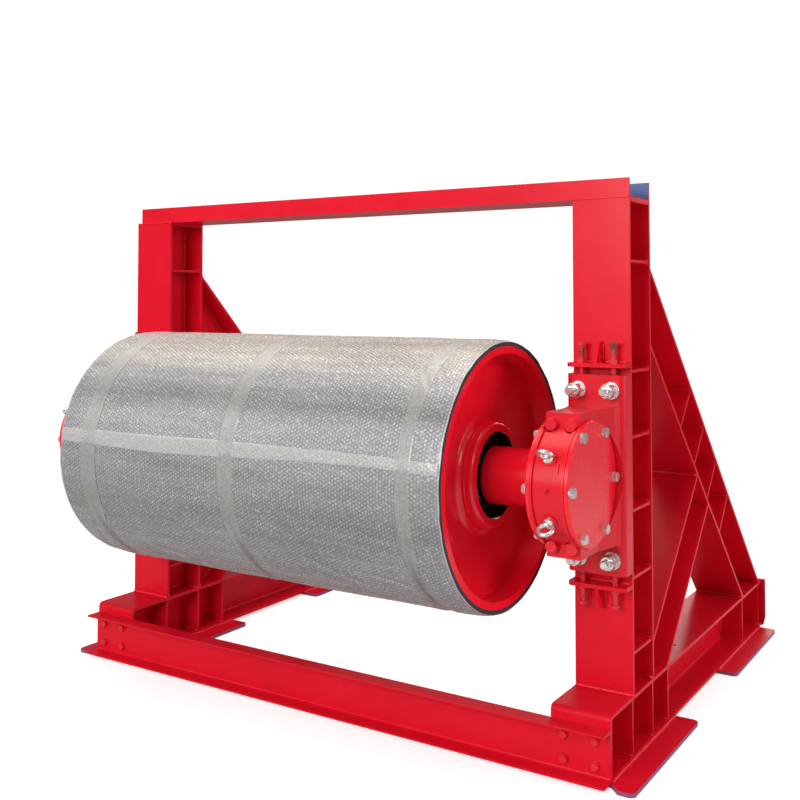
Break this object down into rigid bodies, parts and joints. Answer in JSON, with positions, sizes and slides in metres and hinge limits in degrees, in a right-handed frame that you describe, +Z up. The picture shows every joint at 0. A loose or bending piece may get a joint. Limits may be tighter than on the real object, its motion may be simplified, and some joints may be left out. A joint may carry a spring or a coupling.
{
  "type": "conveyor pulley drum",
  "caption": "Lagged conveyor pulley drum, shipped in a protective wrap, turning in two flanged split bearing housings bolted to a free-standing welded H-section frame.",
  "frame": {"origin": "centre of the overall footprint, on the floor that the foot plates stand on", "axes": "+Z up; +X along the drum axis, towards the end seen nearest in use views; -Y is the side the drum hangs out on, in front of the posts, +Y the side of the braces"},
  "size_m": [3.06, 2.954, 2.369],
  "materials": {
    "frame_paint": "glossy red enamel on rolled steel",
    "weathered_steel": "dark, lightly rusted steel",
    "housing_paint": "glossy red enamel on castings",
    "zinc_plated": "bright zinc plate",
    "painted_fasteners": "red enamel over steel fasteners",
    "bearing_steel": "ground bearing steel",
    "seal_rubber": "matte black",
    "phosphated_steel": "black phosphated and oiled",
    "pulley_paint": "glossy red enamel",
    "shaft_steel": "red enamel over turned steel",
    "lagging_rubber": "matte black",
    "bubble_wrap": "pale translucent bubble sheet, embossed",
    "tape": "clear packing tape"
  },
  "bodies": {
    "frame": {"right_post": "frame_paint", "right_post_plates": "frame_paint", "right_sill": "frame_paint", "right_sill_plates": "frame_paint", "right_brace": "frame_paint", "right_brace_plates": "frame_paint", "right_strut": "frame_paint", "right_foot_plates": "frame_paint", "right_stop_brackets": "frame_paint", "right_jack_bolts": "weathered_steel", "right_housing_base": "housing_paint", "right_housing_cap": "housing_paint", "right_outer_cover": "housing_paint", "right_inner_cover": "housing_paint", "right_cover_bolts": "zinc_plated", "right_base_studs": "zinc_plated", "right_base_nuts": "zinc_plated", "right_eye_bolts": "zinc_plated", "right_cap_bolts": "painted_fasteners", "right_grease_nipple": "painted_fasteners", "right_bearing_outer_ring": "bearing_steel", "left_post": "frame_paint", "left_post_plates": "frame_paint", "left_sill": "frame_paint", "left_sill_plates": "frame_paint", "left_brace": "frame_paint", "left_brace_plates": "frame_paint", "left_strut": "frame_paint", "left_foot_plates": "frame_paint", "left_stop_brackets": "frame_paint", "left_jack_bolts": "weathered_steel", "left_housing_base": "housing_paint", "left_housing_cap": "housing_paint", "left_outer_cover": "housing_paint", "left_inner_cover": "housing_paint", "left_cover_bolts": "zinc_plated", "left_base_studs": "zinc_plated", "left_base_nuts": "zinc_plated", "left_eye_bolts": "zinc_plated", "left_cap_bolts": "painted_fasteners", "left_grease_nipple": "painted_fasteners", "left_bearing_outer_ring": "bearing_steel", "top_crossbeam": "frame_paint", "front_crossbeam": "frame_paint", "crossbeam_bolts": "painted_fasteners"},
    "drum": {"right_bearing_inner_ring": "bearing_steel", "right_shaft_seal": "seal_rubber", "right_locking_ring": "phosphated_steel", "right_end_disc": "pulley_paint", "left_bearing_inner_ring": "bearing_steel", "left_shaft_seal": "seal_rubber", "left_locking_ring": "phosphated_steel", "left_end_disc": "pulley_paint", "drum_shell": "pulley_paint", "shaft": "shaft_steel", "lagging": "lagging_rubber", "wrap_sheet": "bubble_wrap", "wrap_tapes": "tape"},
    "right_roller_cage": {"right_bearing_rollers": "bearing_steel"},
    "left_roller_cage": {"left_bearing_rollers": "bearing_steel"}
  },
  "joints": [
    {"name": "drum_spin", "type": "hinge", "parent": "frame", "child": "drum", "pos_m": [0, -0.928, 1.157], "axis": [1, 0, 0], "continuous": true},
    {"name": "right_cage_spin", "type": "hinge", "parent": "frame", "child": "right_roller_cage", "pos_m": [1.3, -0.928, 1.157], "axis": [1, 0, 0], "continuous": true},
    {"name": "left_cage_spin", "type": "hinge", "parent": "frame", "child": "left_roller_cage", "pos_m": [-1.3, -0.928, 1.157], "axis": [1, 0, 0], "continuous": true}
  ],
  "couplings": [
    {"joint": "right_cage_spin", "follows": "drum_spin", "ratio": 0.4204},
    {"joint": "left_cage_spin", "follows": "drum_spin", "ratio": 0.4204}
  ]
}
